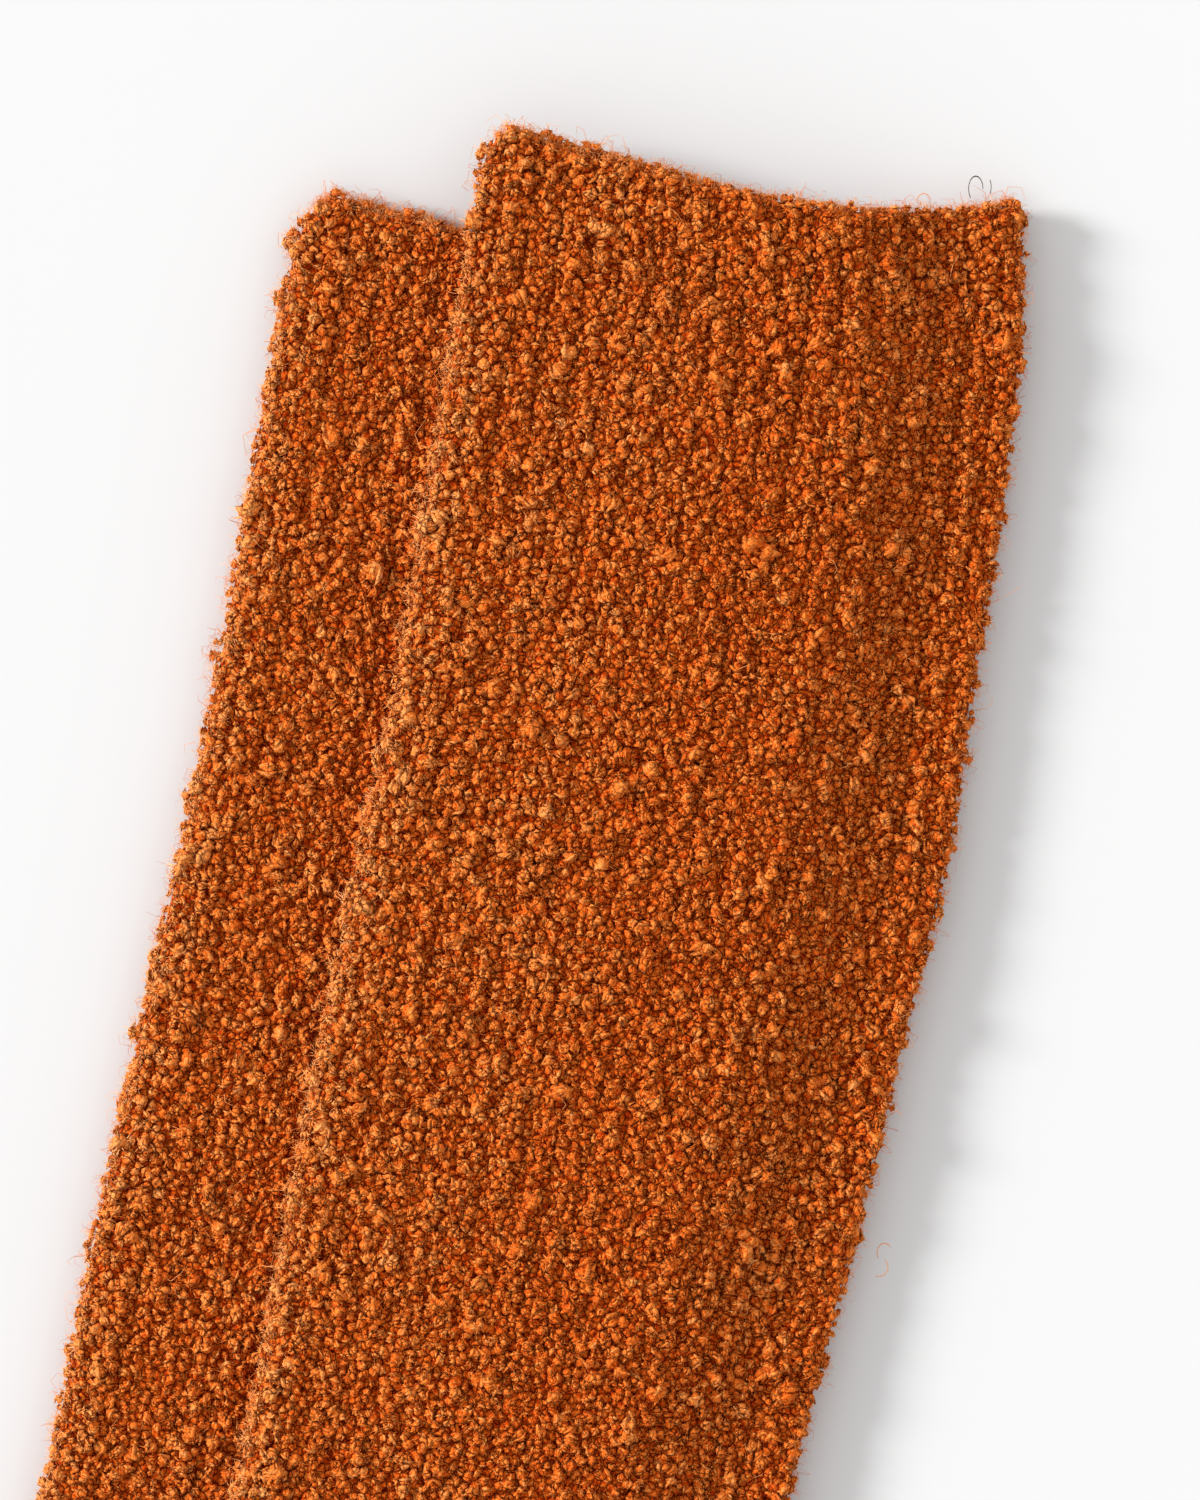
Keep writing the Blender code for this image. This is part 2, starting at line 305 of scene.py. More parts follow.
def on_solid(sock, along, share):
    """Points of the cloth, their outward directions and the way down the sock, for one row of knitting."""
    front, edge, width, down = section_at(along)
    path, gone = path_across(width)
    across = np.interp(share * gone[-1], gone, path[:, 0])
    up = np.interp(share * gone[-1], gone, path[:, 1])
    fade = max(0.0, 1 - along / RIM_DIP_REACH) ** 2
    dip = RIM_DIP * fade * np.sin(np.pi * np.clip(across / width, 0, 1) ** DIP_LEAN)
    flat = placed(front + edge * (across / width)[:, None] + down * dip[:, None], sock)
    inner = np.clip(across, FOLD_REACH, width - FOLD_REACH)
    over_top = placed(front + edge * (inner / width)[:, None] + down * dip[:, None], sock)
    points, normals, kept = [], [], []
    for k, (spot, top_spot) in enumerate(zip(flat, over_top)):
        top = looked_down_on(sock, top_spot)
        if top is None:
            continue
        found = TREES[sock].find_nearest(Vector((*(spot * MM), top - (CLOTH_HEIGHT - up[k]) * MM)))
        points.append(found[0])
        normals.append(found[1])
        kept.append(k)
    points = corner_worn(np.array(points).reshape(-1, 3), sock)
    downs = np.tile([*down, 0.0], (len(kept), 1))
    return points, np.array(normals).reshape(-1, 3), downs, np.array(kept, int)


points, normals, downs, kept = on_solid("over", 120.0, np.linspace(0, 1, 9))
print("a section of the over sock, in mm:", (points / MM).round(1).tolist())

# %% [markdown]
# Yarn like this is never one colour: rust fibres are mixed with golden and red-brown ones. A ramp of shades
# runs from red-brown to gold, and the finish looks up its shade from numbers that the meshes carry. A few
# helpers join the nodes, so that each finish below reads like a recipe.

# %% Shades of the wool
SHADES = (
    (0.00, (0.380, 0.029, 0.001)),
    (0.25, (0.630, 0.093, 0.006)),
    (0.50, (0.785, 0.166, 0.018)),
    (0.75, (0.830, 0.240, 0.040)),
    (1.00, (0.850, 0.320, 0.090)),
)
# Painted shade: the colour that slits and the feet of curls are multiplied towards.
PAINTED_SHADE = (0.11, 0.024, 0.012)


def link(material, source, target):
    material.node_tree.links.new(source, target)


def add_node(material, kind, inputs=(), **settings):
    """A shader node: numbers and colours are set on its inputs, and sockets are linked to them."""
    node = material.node_tree.nodes.new("ShaderNode" + kind)
    for name, value in settings.items():
        setattr(node, name, value)
    for key, value in dict(inputs).items():
        if isinstance(value, bpy.types.NodeSocket):
            link(material, value, node.inputs[key])
        else:
            node.inputs[key].default_value = value
    return node


def math_node(material, operation, *values):
    return add_node(material, "Math", enumerate(values), operation=operation).outputs[0]


def map_range(material, value, low, high, to_low=0.0, to_high=1.0):
    inputs = {"From Min": low, "From Max": high, "To Min": to_low, "To Max": to_high, "Value": value}
    return add_node(material, "MapRange", inputs).outputs["Result"]


def attribute(material, name):
    return add_node(material, "Attribute", attribute_name=name).outputs["Fac"]


def object_place(material):
    return add_node(material, "TexCoord").outputs["Object"]


def shade_ramp(material, factor, shades):
    ramp = add_node(material, "ValToRGB", {"Fac": factor})
    while len(ramp.color_ramp.elements) < len(shades):
        ramp.color_ramp.elements.new(0.5)
    for element, (place, colour) in zip(ramp.color_ramp.elements, shades):
        element.position = place
        element.color = (*colour, 1)
    return ramp.outputs["Color"]


def with_painted_shade(material, colour, amount):
    """Painted shade: the colour, multiplied by the shade colour as far as the amount says."""
    # A Mix node has sockets for every kind of data: 6 and 7 take its colours, and output 2 gives one.
    inputs = {"Factor": amount, 6: colour, 7: (*PAINTED_SHADE, 1)}
    return add_node(material, "Mix", inputs, data_type="RGBA", blend_type="MULTIPLY").outputs[2]


def bumped(material, shader, height, strength, distance):
    """Joins a pattern to the shader as bump, with its distance in millimetres."""
    bump = add_node(material, "Bump", {"Strength": strength, "Distance": distance * MM, "Height": height})
    link(material, bump.outputs["Normal"], shader.inputs["Normal"])


print("shades of the yarn:", len(SHADES))

# %% [markdown]
# Two patterns do the fine work. A noise, stretched along the yarn's own map, streaks it as fibres lie. A
# Voronoi pattern draws still smaller curls, about a millimetre across, with slits between them. A second
# noise sways the pattern, or the slits would run straight.

# %% Patterns of the yarn
# How many there are to a metre.
CURL_CELLS, SWAY_NOISE = 830.0, 664.0
SWAY = 1.1


def noise_on(material, vector, scale, detail=2.0, stretch=None):
    if stretch:
        vector = add_node(material, "Mapping", {"Scale": stretch, "Vector": vector}).outputs["Vector"]
    inputs = {"Scale": scale, "Detail": detail, "Vector": vector}
    return add_node(material, "TexNoise", inputs).outputs["Fac"]


def small_curls(material, place):
    """How far each point is from the slits between small curls: 0 in a slit, then rising."""
    sway = add_node(material, "TexNoise", {"Scale": SWAY_NOISE, "Vector": place}).outputs["Color"]
    inputs = {0: sway, 1: (SWAY * MM,) * 3, 2: place}
    bent = add_node(material, "VectorMath", inputs, operation="MULTIPLY_ADD").outputs[0]
    inputs = {"Scale": CURL_CELLS, "Vector": bent}
    return add_node(material, "TexVoronoi", inputs, feature="DISTANCE_TO_EDGE").outputs["Distance"]


print("small curls", round(1 / CURL_CELLS / MM, 2), "mm across")

# %% [markdown]
# The curl finish adds it up: the curl's own shade, the streaks, and painted light where a point stands high.
# Slits get painted shade, but only in patches, and a curl's foot is painted dark because little light gets
# between curls. The tubes below the curls get the same wool, painted darker as yarn in shade between the
# curls, with more slits and deeper bump. A faint sheen stands for the fuzz that is too fine to model.

# %% Wool finish
YARN_MAP, BAKE_MAP = "yarn", "OFBake"
WOOL_COLOUR, WOOL_ROUGHNESS = (0.5, 0.1, 0.01), 0.85
SPECULAR, SPECULAR_TINT = 0.14, (1.0, 0.50, 0.20)
SHEEN, SHEEN_ROUGHNESS, SHEEN_TINT = 0.12, 0.35, (1.0, 0.40, 0.14)
STREAKS = (7.0, 2.2, 1)
FIBRE_NOISE, FIBRE_SHARE = 3800.0, 1.4
# The streaks and fibres average this much, which is taken off again.
MIXED_MEAN = 1.2
# Painted light: a point is painted lighter by this much for each unit of its lift, less the offset.
RAISED_PAINTED_LIGHT, RAISED_FROM = 0.12, -0.04
# How near the edge of a small curl a slit is full, and where it ends; and how near the bump falls off.
SLIT, GROUND_SLIT, SLOPE = (0.035, 0.11), (0.02, 0.09), 0.30
# Painted shade: the noise and range that make the patches where slits show, and how dark the slits are
# painted; then the lift over which a curl's foot is painted darker, and how dark.
PATCH_NOISE, SLIT_PATCHES, SLIT_PAINTED_SHADE = 420.0, (0.36, 0.54), 0.9
FOOT, FOOT_PAINTED_SHADE = (0.02, -0.60), 0.75
CURL_BUMP, GROUND_BUMP = (0.9, 0.17), (1.0, 0.6)
SLOPE_BUMP = 1.6
# The tube's noise, how much it moves the shade, and an offset that paints the tube darker, as yarn in shade
# between the curls.
LOOP_NOISE, LOOP_SHADE, LOOP_FROM = 1300.0, 2.2, -0.85


def wool_base(name):
    material, shader = plain_material(name, WOOL_COLOUR, WOOL_ROUGHNESS)
    for key, value in (("Specular IOR Level", SPECULAR), ("Specular Tint", (*SPECULAR_TINT, 1)),
                       ("Sheen Weight", SHEEN), ("Sheen Roughness", SHEEN_ROUGHNESS),
                       ("Sheen Tint", (*SHEEN_TINT, 1))):
        shader.inputs[key].default_value = value
    return material, shader


def curl_wool():
    material, shader = wool_base("curl_wool")
    yarn_map = add_node(material, "UVMap", uv_map=YARN_MAP).outputs["UV"]
    streaks = noise_on(material, yarn_map, 1.0, 2.0, STREAKS)
    place = object_place(material)
    fibres = noise_on(material, place, FIBRE_NOISE, 1.0)
    mixed = math_node(material, "ADD", streaks, math_node(material, "MULTIPLY", fibres, FIBRE_SHARE))
    # Painted light: points that stand higher are painted lighter.
    lift = attribute(material, "lift")
    raised = math_node(material, "MULTIPLY_ADD", lift, RAISED_PAINTED_LIGHT, RAISED_FROM)
    shade = math_node(material, "ADD", math_node(material, "SUBTRACT", mixed, MIXED_MEAN),
                      math_node(material, "ADD", raised, attribute(material, "shade")))
    cells = small_curls(material, place)
    # Painted shade: slits darken in patches, and a curl's foot darkens, as little light gets between curls.
    opened = map_range(material, noise_on(material, place, PATCH_NOISE, 1.0), *SLIT_PATCHES)
    slit = math_node(material, "MULTIPLY", map_range(material, cells, SLIT[1], SLIT[0]), opened)
    foot = map_range(material, lift, *FOOT, 0.0, FOOT_PAINTED_SHADE)
    dark = math_node(material, "MAXIMUM", math_node(material, "MULTIPLY", slit, SLIT_PAINTED_SHADE), foot)
    colour = with_painted_shade(material, shade_ramp(material, shade, SHADES), dark)
    link(material, colour, shader.inputs["Base Color"])
    slope = map_range(material, cells, 0.0, SLOPE)
    bumped(material, shader, math_node(material, "MULTIPLY_ADD", slope, SLOPE_BUMP, mixed), *CURL_BUMP)
    return material


def ground_wool():
    material, shader = wool_base("ground_wool")
    place = object_place(material)
    # Painted shade: the tube is painted darker than the curls, as yarn in shade between them, with darker
    # slits.
    loops = noise_on(material, place, LOOP_NOISE, 2.0)
    shade = math_node(material, "MULTIPLY_ADD", loops, LOOP_SHADE, LOOP_FROM)
    cells = small_curls(material, place)
    slit = map_range(material, cells, GROUND_SLIT[1], GROUND_SLIT[0])
    colour = with_painted_shade(material, shade_ramp(material, shade, SHADES), slit)
    link(material, colour, shader.inputs["Base Color"])
    slope = map_range(material, cells, 0.0, SLOPE)
    bumped(material, shader, math_node(material, "ADD", slope, loops), *GROUND_BUMP)
    return material


CURL_WOOL, GROUND_WOOL = curl_wool(), ground_wool()
print("finishes:", CURL_WOOL.name, GROUND_WOOL.name)

# %% [markdown]
# Under the curls lies the knitted tube itself. It has the solid's form, so a merged copy of the solid becomes
# the piece that shows, and the solid stays hidden for the simulator.

# %% Knitted tubes
MERGE = 1e-6


def knitted_tube(sock):
    node = "sock_" + sock
    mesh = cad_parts[node].data.copy()
    bm = bmesh.new()
    bm.from_mesh(mesh)
    bmesh.ops.remove_doubles(bm, verts=bm.verts, dist=MERGE)
    worn = corner_worn(np.array([vert.co for vert in bm.verts]), sock)
    for vert, place in zip(bm.verts, worn):
        vert.co = place
    bm.to_mesh(mesh)
    bm.free()
    mesh.materials.clear()
    mesh.materials.append(GROUND_WOOL)
    mesh.shade_smooth()
    tube = in_scene(sock + "_knit", mesh)
    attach(tube, "root")
    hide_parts(node)
    print(tube.name, len(mesh.polygons), "faces")
    return tube


TUBES = {sock: knitted_tube(sock) for sock in ("over", "under")}

# %% [markdown]
# Seen close, each curl is a soft knob: the yarn doubles back on itself a few times. A small sphere pressed
# out of round makes the heart of a knob, and one to three short arcs of yarn lie bent over it. An arc is a
# circle spun part of the way round an axis, drawn in at its ends. A few dozen knobs, turned and sized at
# random, look like thousands of different ones, so each has only some fifty faces.
#
# Each knob carries two maps: one that runs along the yarn, for the streaks, and one where nothing overlaps,
# for colours to be baked on.

# %% Arcs of yarn
SpunArc = namedtuple("SpunArc", "points faces angle out around")
# An angle further below zero than this has gone past half a turn.
PAST_HALF = -0.2
# How much room on the yarn's map the flat end of an arc gets, and the pole of a sphere.
END_ROOM, POLE_ROOM = 0.08, 0.04


def triangles_of(bm):
    bmesh.ops.recalc_face_normals(bm, faces=bm.faces)
    bmesh.ops.triangulate(bm, faces=bm.faces)
    points = np.array([vert.co for vert in bm.verts])
    faces = np.array([[vert.index for vert in face.verts] for face in bm.faces])
    bm.free()
    return points, faces


def spun_arc(reach, thickness, sides, sweep, steps, capped=True):
    """A circle spun part of the way round the Z axis.

    For each point it gives its angle along the arc, how far it lies out of the yarn's middle line, and its
    place round the yarn, in turns.
    """
    bm = bmesh.new()
    bmesh.ops.create_circle(bm, cap_ends=capped, segments=sides, radius=thickness)
    bmesh.ops.rotate(bm, verts=bm.verts, cent=(0, 0, 0), matrix=Matrix.Rotation(math.pi / 2, 3, "X"))
    bmesh.ops.translate(bm, verts=bm.verts, vec=(reach, 0, 0))
    bmesh.ops.spin(bm, geom=bm.verts[:] + bm.edges[:] + bm.faces[:], cent=(0, 0, 0), axis=(0, 0, 1),
                   angle=sweep, steps=steps, use_duplicate=False)
    points, faces = triangles_of(bm)
    angle = np.arctan2(points[:, 1], points[:, 0]) * np.sign(sweep)
    angle = np.where(angle < PAST_HALF, angle + 2 * np.pi, angle)
    out = np.linalg.norm(points[:, :2], axis=1) - reach
    return SpunArc(points, faces, angle, out, np.arctan2(points[:, 2], out) / (2 * np.pi))


def one_mesh(parts):
    """Joins parts, each its points, its faces and any other arrays, into the arrays of one mesh."""
    points, faces, *others = zip(*parts)
    first = np.cumsum([0] + [len(each) for each in points])
    faces = [each + start for each, start in zip(faces, first)]
    return map(np.concatenate, (points, faces, *others))


def unrolled(turns, faces):
    """Each corner's place round the yarn, in turns, kept next to the other corners of its face."""
    corner = turns[faces]
    return corner - np.round(corner - corner[:, :1])


def yarn_corners(around, along, faces):
    """Each corner's place on the yarn's map. The wave gives the flat ends some room there."""
    corner_around = unrolled(around, faces)
    corner_along = along[faces] + END_ROOM * np.sin(2 * np.pi * corner_around)
    return np.stack([corner_around, corner_along], axis=2)


arc = spun_arc(1.0, 0.3, 3, math.radians(120), 2)
print("a short arc has", len(arc.faces), "faces")

# %% Knob shapes
# How many arcs each kind of knob has, and how many different knobs of that kind there are.
FULL_ARCS, SMALL_ARCS, PLAIN_ARCS = 3, 2, 1
FULL_KNOBS, SMALL_KNOBS, PLAIN_KNOBS = 10, 16, 12
HEART_SEGMENTS, HEART_RINGS = 5, 3
HEART_SIZE, HEART_LONG, HEART_WIDE = 0.76, (0.9, 1.2), (0.75, 1.0)
LUMP_WAVES, LUMP_TURNS, LUMP_DEPTH = 3, 1.8, 0.42
KNOB_HEIGHT = 0.66
ARC_REACH = (0.70, 0.95)
ARC_YARN = (0.27, 0.38)
ARC_SWEEP = (95, 160)
ARC_SIDES, ARC_STEPS = 3, 2
ARC_END, ARC_LEAN, ARC_STRAY = 0.5, 0.75, 0.12
# The heart of a knob is painted darker than its arcs, as painted shade under them; each arc's tone also
# varies at random.
HEART_PAINTED_SHADE, ARC_TONE, TONE_SPREAD = -0.16, 0.06, 0.09
# Each part of a knob gets a quarter of its square on the bake map, and a place of its own along the yarn.
QUARTER, MARGIN = 0.45, 0.02
YARN_LENGTH = 50
KnobShape = namedtuple("KnobShape", "points faces tone yarn_map bake_map")


def arc_of_yarn(draw):
    """A short fat arc that stands on its ends, bent over the heart of the knob."""
    reach, yarn = draw.uniform(*ARC_REACH), draw.uniform(*ARC_YARN)
    sweep = math.radians(draw.uniform(*ARC_SWEEP))
    arc = spun_arc(reach, yarn, ARC_SIDES, sweep, ARC_STEPS)
    along = arc.angle / sweep
    thick = np.where((along < 0.01) | (along > 0.99), ARC_END, 1.0)
    middle, radius = arc.angle - sweep / 2, reach + arc.out * thick
    upright = np.stack([radius * np.sin(middle), arc.points[:, 2] * thick, radius * np.cos(middle)], axis=1)
    lean, turn = draw.uniform(-ARC_LEAN, ARC_LEAN), draw.uniform(0, 2 * math.pi)
    posed = upright @ np.array(Matrix.Rotation(lean, 3, "X")) @ np.array(Matrix.Rotation(turn, 3, "Z"))
    posed[:, :2] += draw.normal(0, ARC_STRAY, 2)
    return posed, arc.faces, yarn_corners(arc.around, along, arc.faces)


def heart(draw):
    """A small sphere, pressed out of round and laid on its side."""
    bm = bmesh.new()
    bmesh.ops.create_uvsphere(bm, u_segments=HEART_SEGMENTS, v_segments=HEART_RINGS, radius=HEART_SIZE)
    points, faces = triangles_of(bm)
    unit = points / HEART_SIZE
    corner_along = unrolled(np.arctan2(unit[:, 1], unit[:, 0]) / (2 * np.pi), faces)
    corner_across = (np.arccos(np.clip(unit[:, 2], -1, 1)) / np.pi)[faces]
    corner_across = corner_across + POLE_ROOM * np.sin(2 * np.pi * corner_along)
    lumps = sum(np.sin(unit @ draw.normal(0, LUMP_TURNS, 3) + draw.uniform(0, 6)) for _ in range(LUMP_WAVES))
    lumpy = points * (1 + LUMP_DEPTH * lumps / LUMP_WAVES)[:, None]
    posed = lumpy @ np.array(Matrix.Rotation(math.pi / 2, 3, "X"))
    posed = posed * [draw.uniform(*HEART_LONG), draw.uniform(*HEART_WIDE), 1]
    posed = posed @ np.array(Matrix.Rotation(draw.uniform(0, 2 * math.pi), 3, "Z"))
    return posed, faces, np.stack([corner_across, corner_along], axis=2)


def on_bake_map(corners, size, place):
    """The corners' map, stretched over a square of this size at this place."""
    low, high = corners.reshape(-1, 2).min(0), corners.reshape(-1, 2).max(0)
    return (corners - low) / (high - low) * size + place


def quarter(k):
    return np.array([k % 2, k // 2]) * 0.5 + MARGIN


def knob_shape(arcs, seed):
    draw = np.random.default_rng(seed)
    shapes = [heart(draw)] + [arc_of_yarn(draw) for _ in range(arcs)]
    parts = []
    for k, (points, faces, corners) in enumerate(shapes):
        tone = HEART_PAINTED_SHADE if k == 0 else ARC_TONE + draw.normal(0, TONE_SPREAD)
        parts.append((points * [1, 1, KNOB_HEIGHT], faces, np.full(len(points), tone),
                      corners + draw.uniform(0, YARN_LENGTH, 2), on_bake_map(corners, QUARTER, quarter(k))))
    return KnobShape(*one_mesh(parts))


PUFFS = [knob_shape(FULL_ARCS, k) for k in range(FULL_KNOBS)]
PLAIN_CURLS = [knob_shape(PLAIN_ARCS, 100 + k) for k in range(PLAIN_KNOBS)]
FINE_CURLS = [knob_shape(SMALL_ARCS, 50 + k) for k in range(SMALL_KNOBS)] + PLAIN_CURLS
print("faces a knob:", len(PUFFS[0].faces), len(FINE_CURLS[0].faces), len(PLAIN_CURLS[0].faces))

# %% [markdown]
# Laying thousands of copies one object at a time would be slow. Instead one array of points holds them all:
# each curl's shape is turned, sized and moved, and the arrays become one mesh. The mesh also keeps each
# curl's shade and each point's lift above the cloth, which the wool finish reads.

# %% A mesh from arrays
pieces_of = {"over": [], "under": []}


def mesh_piece(name, points, faces, maps, shade, lift, material, sock):
    mesh = bpy.data.meshes.new(name)
    mesh.vertices.add(len(points))
    mesh.vertices.foreach_set("co", points.astype(np.float32).ravel())
    mesh.loops.add(faces.size)
    mesh.loops.foreach_set("vertex_index", faces.astype(np.int32).ravel())
    mesh.polygons.add(len(faces))
    mesh.polygons.foreach_set("loop_start", np.arange(0, faces.size, 3, dtype=np.int32))
    mesh.update(calc_edges=True)
    mesh.validate()
    for key, values in (("shade", shade), ("lift", lift)):
        mesh.attributes.new(key, "FLOAT", "POINT").data.foreach_set("value", values.astype(np.float32))
    for key, corners in maps.items():
        mesh.uv_layers.new(name=key).data.foreach_set("uv", corners.astype(np.float32).ravel())
    mesh.materials.append(material)
    mesh.shade_smooth()
    piece = in_scene(name, mesh)
    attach(piece, "root")
    pieces_of[sock].append(piece)
    print(name, len(faces), "faces")


# %% Laying curls
PIECE_FACES = 190000
TABLE_CLEAR = 0.0001
# A curl that faces sideways counts as raised by this much, so its foot gets less painted shade, as light
# reaches it.
SIDE_LIFT = 0.5
# How far on along the yarn's map each curl starts.
YARN_STEP = 0.37
Spots = namedtuple("Spots", "points normals downs size shade lift")


def picked(spots, chosen):
    return Spots(*(values[chosen] for values in spots))


def joined(several):
    return Spots(*(np.concatenate(values) for values in zip(*several)))


def facings(spots, lean):
    """Two directions along the cloth for each spot, turned at random, and the way out, leaning a little."""
    out = spots.normals + rng.normal(0, lean, spots.normals.shape)
    out /= np.linalg.norm(out, axis=1)[:, None]
    side = np.cross(spots.downs, out)
    side /= np.linalg.norm(side, axis=1)[:, None]
    ahead = np.cross(out, side)
    spin = rng.uniform(0, 2 * np.pi, len(out))[:, None]
    return side * np.cos(spin) + ahead * np.sin(spin), ahead * np.cos(spin) - side * np.sin(spin), out


def lay_part(name, sock, shapes, spots, lean, material):
    """One piece that holds a curl at each spot, with shapes picked at random."""
    kind = rng.integers(0, len(shapes), len(spots.points))
    side, ahead, out = facings(spots, lean)
    cells = math.ceil(math.sqrt(len(kind)))
    parts = []
    for k, shape in enumerate(shapes):
        mine = np.where(kind == k)[0]
        if not len(mine):
            continue
        x, y, z = (shape.points[:, axis] for axis in range(3))
        z_up = z[None, :, None] + spots.lift[mine, None, None]
        laid = (side[mine][:, None] * x[None, :, None] + ahead[mine][:, None] * y[None, :, None]
                + out[mine][:, None] * z_up) * spots.size[mine, None, None] + spots.points[mine][:, None]
        first = np.arange(len(mine)) * len(shape.points)
        cell = np.stack([mine % cells, mine // cells], axis=1)
        parts.append((laid.reshape(-1, 3),
                      (first[:, None, None] + shape.faces).reshape(-1, 3),
                      (shape.yarn_map[None] + mine[:, None, None, None] * YARN_STEP).reshape(-1, 2),
                      ((cell[:, None, None] + shape.bake_map) / cells).reshape(-1, 2),
                      (spots.shade[mine][:, None] + shape.tone).ravel(),
                      (z + (1 - out[mine, 2, None]) * SIDE_LIFT).ravel()))
    points, faces, yarn_map, bake_map, shade, lift = one_mesh(parts)
    points[:, 2] = np.maximum(points[:, 2], TABLE_CLEAR)
    mesh_piece(name, points, faces, {YARN_MAP: yarn_map, BAKE_MAP: bake_map}, shade, lift, material, sock)


def lay_curls(name, sock, shapes, spots, lean, material=CURL_WOOL):
    """Pieces of even size that together hold a curl at each spot."""
    share = max(1, math.ceil(len(spots.points) * max(len(s.faces) for s in shapes) / PIECE_FACES))
    for part, chosen in enumerate(np.array_split(np.arange(len(spots.points)), share)):
        lay_part(f"{name}_{part + 1}", sock, shapes, picked(spots, chosen), lean, material)


print("a piece holds at most", PIECE_FACES, "faces")

# %% [markdown]
# In the knitting the curls follow the stitches: three to a rib, one to a row, pushed about by hand and wash.
# On the cuff the ribs draw together, so the curls leave a groove between ribs. Past the ankle, which the
# picture doesn't show, they are a little larger and further apart.

# %% Rows and ribs
RIBS, RIB_PITCH = 20, 4.85
ROW_GAP, FIRST_ROW, LAST_ROW = 1.30, 0.9, SOCK_LENGTH - 2
CURLS_A_RIB = 3
# How strongly the ribs draw together, by distance from the rim: it grows over the rim and fades down the leg.
RIB_AT_RIM, RIB_ON_CUFF, RIB_LOST_ON_LEG = 0.30, 0.30, 0.22
RIM_ZONE, CUFF_FOOT, LEG_FADE = 25, 30, 70
RIB_PULL = 0.20
# From the ankle to the heel the curls grow.
SHOWN_TO, GROWN_BY = 228.0, 275.0
FOOT_GROWTH, FOOT_SIZE_POWER = 1.7, 0.55
# How far a curl strays across the sock and along it, how far a whole row does, and how rows are staggered.
STRAY_ACROSS, STRAY_ALONG, STRAY_ROW, STAGGER = 0.43, 0.34, 0.12, 0.25


def ease(t):
    return t * t * (3 - 2 * t)


def grow(along):
    """How much larger than on the leg the gaps are at this distance from the rim."""
    return 1 + (FOOT_GROWTH - 1) * ease(np.clip((along - SHOWN_TO) / (GROWN_BY - SHOWN_TO), 0, 1))


def ribbed(along):
    rim, leg = np.clip(along / RIM_ZONE, 0, 1), np.clip((along - CUFF_FOOT) / LEG_FADE, 0, 1)
    return RIB_AT_RIM + RIB_ON_CUFF * rim - RIB_LOST_ON_LEG * ease(leg)


def row_shares(along, odd):
    """Where the curls of one row stand along the path across the sock, from 0 to 1."""
    length = path_across(section_at(along)[2])[1][-1]
    if along < SHOWN_TO:
        columns = RIBS * CURLS_A_RIB
        column = np.arange(columns)
        in_rib = (column % CURLS_A_RIB + 0.5) / CURLS_A_RIB
        pull = 1 - RIB_PULL * ribbed(along)
        shares = (column // CURLS_A_RIB + 0.5 + (in_rib - 0.5) * pull) / RIBS
    else:
        columns = max(4, round(length / (RIB_PITCH / CURLS_A_RIB * grow(along))))
        shares = (np.arange(columns) + 0.5 + STAGGER * (-1) ** odd) / columns
    return shares + rng.normal(0, STRAY_ACROSS * grow(along), columns) / length


print("how strongly ribs draw together at 0, 30 and 200 mm:", ribbed(np.array([0, 30, 200])).round(2))

# %% [markdown]
# Shade is what makes the wool look alive. Most curls are rust, a few golden or red-brown, in soft patches.
# Painted light and shade go on top: curls are painted lighter in long bands down the sock, where the light
# catches the cloth, and painted darker in the grooves between ribs. Curls that stand higher are painted
# paler, as they catch more light.

# %% Shades of the curls
RUST, RUST_SPREAD = 0.50, 0.035
PATCH_SHADE, PATCH_SIZE = 0.05, 2.7
GOLD, RED = 0.03, 0.08
GOLD_SHADES, RED_SHADES = (0.60, 0.74), (0.28, 0.40)
# Painted light and shade across the sock, where the light catches the cloth: place, spread and how much
# lighter the curls are painted.
GLOW = (
    (0.07, 0.035, 0.24),
    (0.105, 0.016, 0.18),
    (0.27, 0.16, 0.10),
    (0.55, 0.10, -0.03),
    (0.80, 0.07, 0.06),
)
# Painted light: curls are painted lighter the more sideways they face, as on the folds.
FOLD_GLOW = 0.10
# Painted shade in the grooves between ribs; the curls there are also smaller and sit lower.
GROOVE_PAINTED_SHADE, GROOVE_SIZE, GROOVE_SINK = 0.16, 0.12, 0.3
# The first groove would run along the front fold, where the photo shows none.
FIRST_GROOVE = 0.10


def patches(points, spread):
    """Smooth patches a few millimetres wide, from -1 to 1. The numbers keep them from repeating."""
    x, y = points[:, 0] / MM / spread, points[:, 1] / MM / spread
    return np.sin(x / 1.9 + 1.3 * np.sin(y / 3.1)) * np.sin(y / 2.3 + 1.1 * np.sin(x / 2.9))


def shades_for(count, points):
    shade = rng.normal(RUST, RUST_SPREAD, count) + PATCH_SHADE * patches(points, PATCH_SIZE)
    pick = rng.random(count)
    shade = np.where(pick < GOLD, rng.uniform(*GOLD_SHADES, count), shade)
    return np.where(pick > 1 - RED, rng.uniform(*RED_SHADES, count), shade)


def glow_at(share):
    return sum(more * np.exp(-((share - at) / spread) ** 2) for at, spread, more in GLOW)


def groove_at(share, along):
    """How deep in a groove between ribs a place is, from 0 on a rib."""
    if along >= SHOWN_TO:
        return np.zeros(len(share))
    smooth_fold = 1 - np.exp(-((share - FIRST_GROOVE) / (0.5 / RIBS)) ** 2)
    return np.abs((share * RIBS) % 1 - 0.5) ** 2 * 4 * smooth_fold * ribbed(along)


print("the light adds at most", round(max(glow_at(np.linspace(0, 1, 101))), 2), "to the shade")

